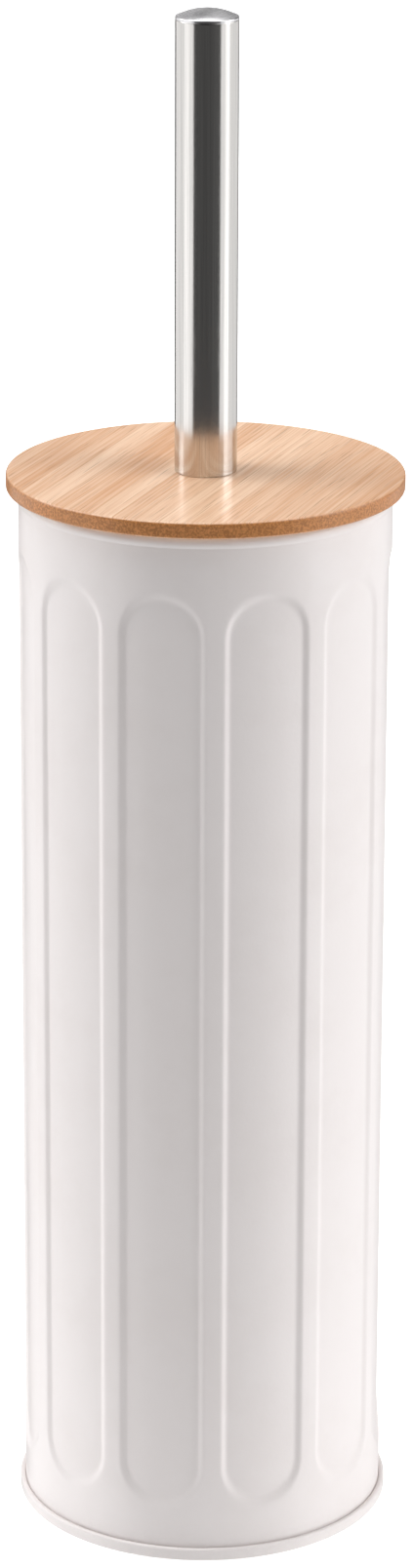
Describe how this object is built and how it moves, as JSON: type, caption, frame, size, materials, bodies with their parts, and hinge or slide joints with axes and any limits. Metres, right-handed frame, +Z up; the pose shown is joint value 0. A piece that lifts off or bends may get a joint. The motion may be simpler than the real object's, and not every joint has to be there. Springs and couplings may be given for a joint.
{
  "type": "toilet brush holder",
  "caption": "Tall round embossed steel canister with a lift-out liner and a brush whose round wooden lid closes it under a slim upright tube handle.",
  "frame": {"origin": "centre of the canister's foot on the floor, on the canister's axis", "axes": "+Z up along the canister's axis and the handle, -Y towards the front, +X to the right"},
  "size_m": [0.1022, 0.1022, 0.4033],
  "materials": {
    "white_enamel": "satin white powder coat",
    "liner_plastic": "satin moulded polypropylene",
    "bamboo": "oiled laminated bamboo",
    "white_plastic": "satin moulded polypropylene",
    "silicone": "soft translucent silicone",
    "zinc_steel": "bright zinc plate",
    "brushed_tube": "brushed along its length",
    "polished_cap": "spun and polished",
    "black_rubber": "matte",
    "brass": "turned",
    "white_nylon": "crimped filament"
  },
  "bodies": {
    "canister": {"canister_wall": "white_enamel", "base_plate": "white_enamel"},
    "liner": {"liner_cup": "liner_plastic"},
    "lid": {"lid_disc": "bamboo", "lid_plug": "white_plastic", "lid_gasket": "silicone", "lid_screws": "zinc_steel"},
    "handle": {"handle_tube": "brushed_tube", "handle_cap": "polished_cap", "handle_bush": "zinc_steel", "spacer_sleeve": "zinc_steel", "retaining_washer": "zinc_steel", "lock_washer": "zinc_steel", "upper_stud": "zinc_steel", "stem_tube": "brushed_tube", "lower_stud": "zinc_steel"},
    "head_seal": {"head_oring": "black_rubber"},
    "head": {"brush_core": "white_plastic", "core_insert": "brass", "side_bristles": "white_nylon", "nose_bristles": "white_nylon", "tuft_anchors": "zinc_steel"}
  },
  "joints": [
    {"name": "liner_lift", "type": "slide", "parent": "canister", "child": "liner", "axis": [0, 0, 1], "range_m": [0, 0.29]},
    {"name": "lid_lift", "type": "slide", "parent": "liner", "child": "lid", "axis": [0, 0, 1], "range_m": [0, 0.28]},
    {"name": "handle_turn", "type": "hinge", "parent": "lid", "child": "handle", "pos_m": [0, 0, 0.276], "axis": [0, 0, 1], "continuous": true},
    {"name": "head_travel", "type": "slide", "parent": "handle", "child": "head_seal", "axis": [0, 0, -1], "range_m": [0, 0.0075]},
    {"name": "head_turn", "type": "hinge", "parent": "head_seal", "child": "head", "pos_m": [0, 0, 0.1], "axis": [0, 0, -1], "range_deg": [0, 2160]}
  ],
  "couplings": [
    {"joint": "head_travel", "follows": "head_turn", "m_per_rad": 0.00019894}
  ]
}
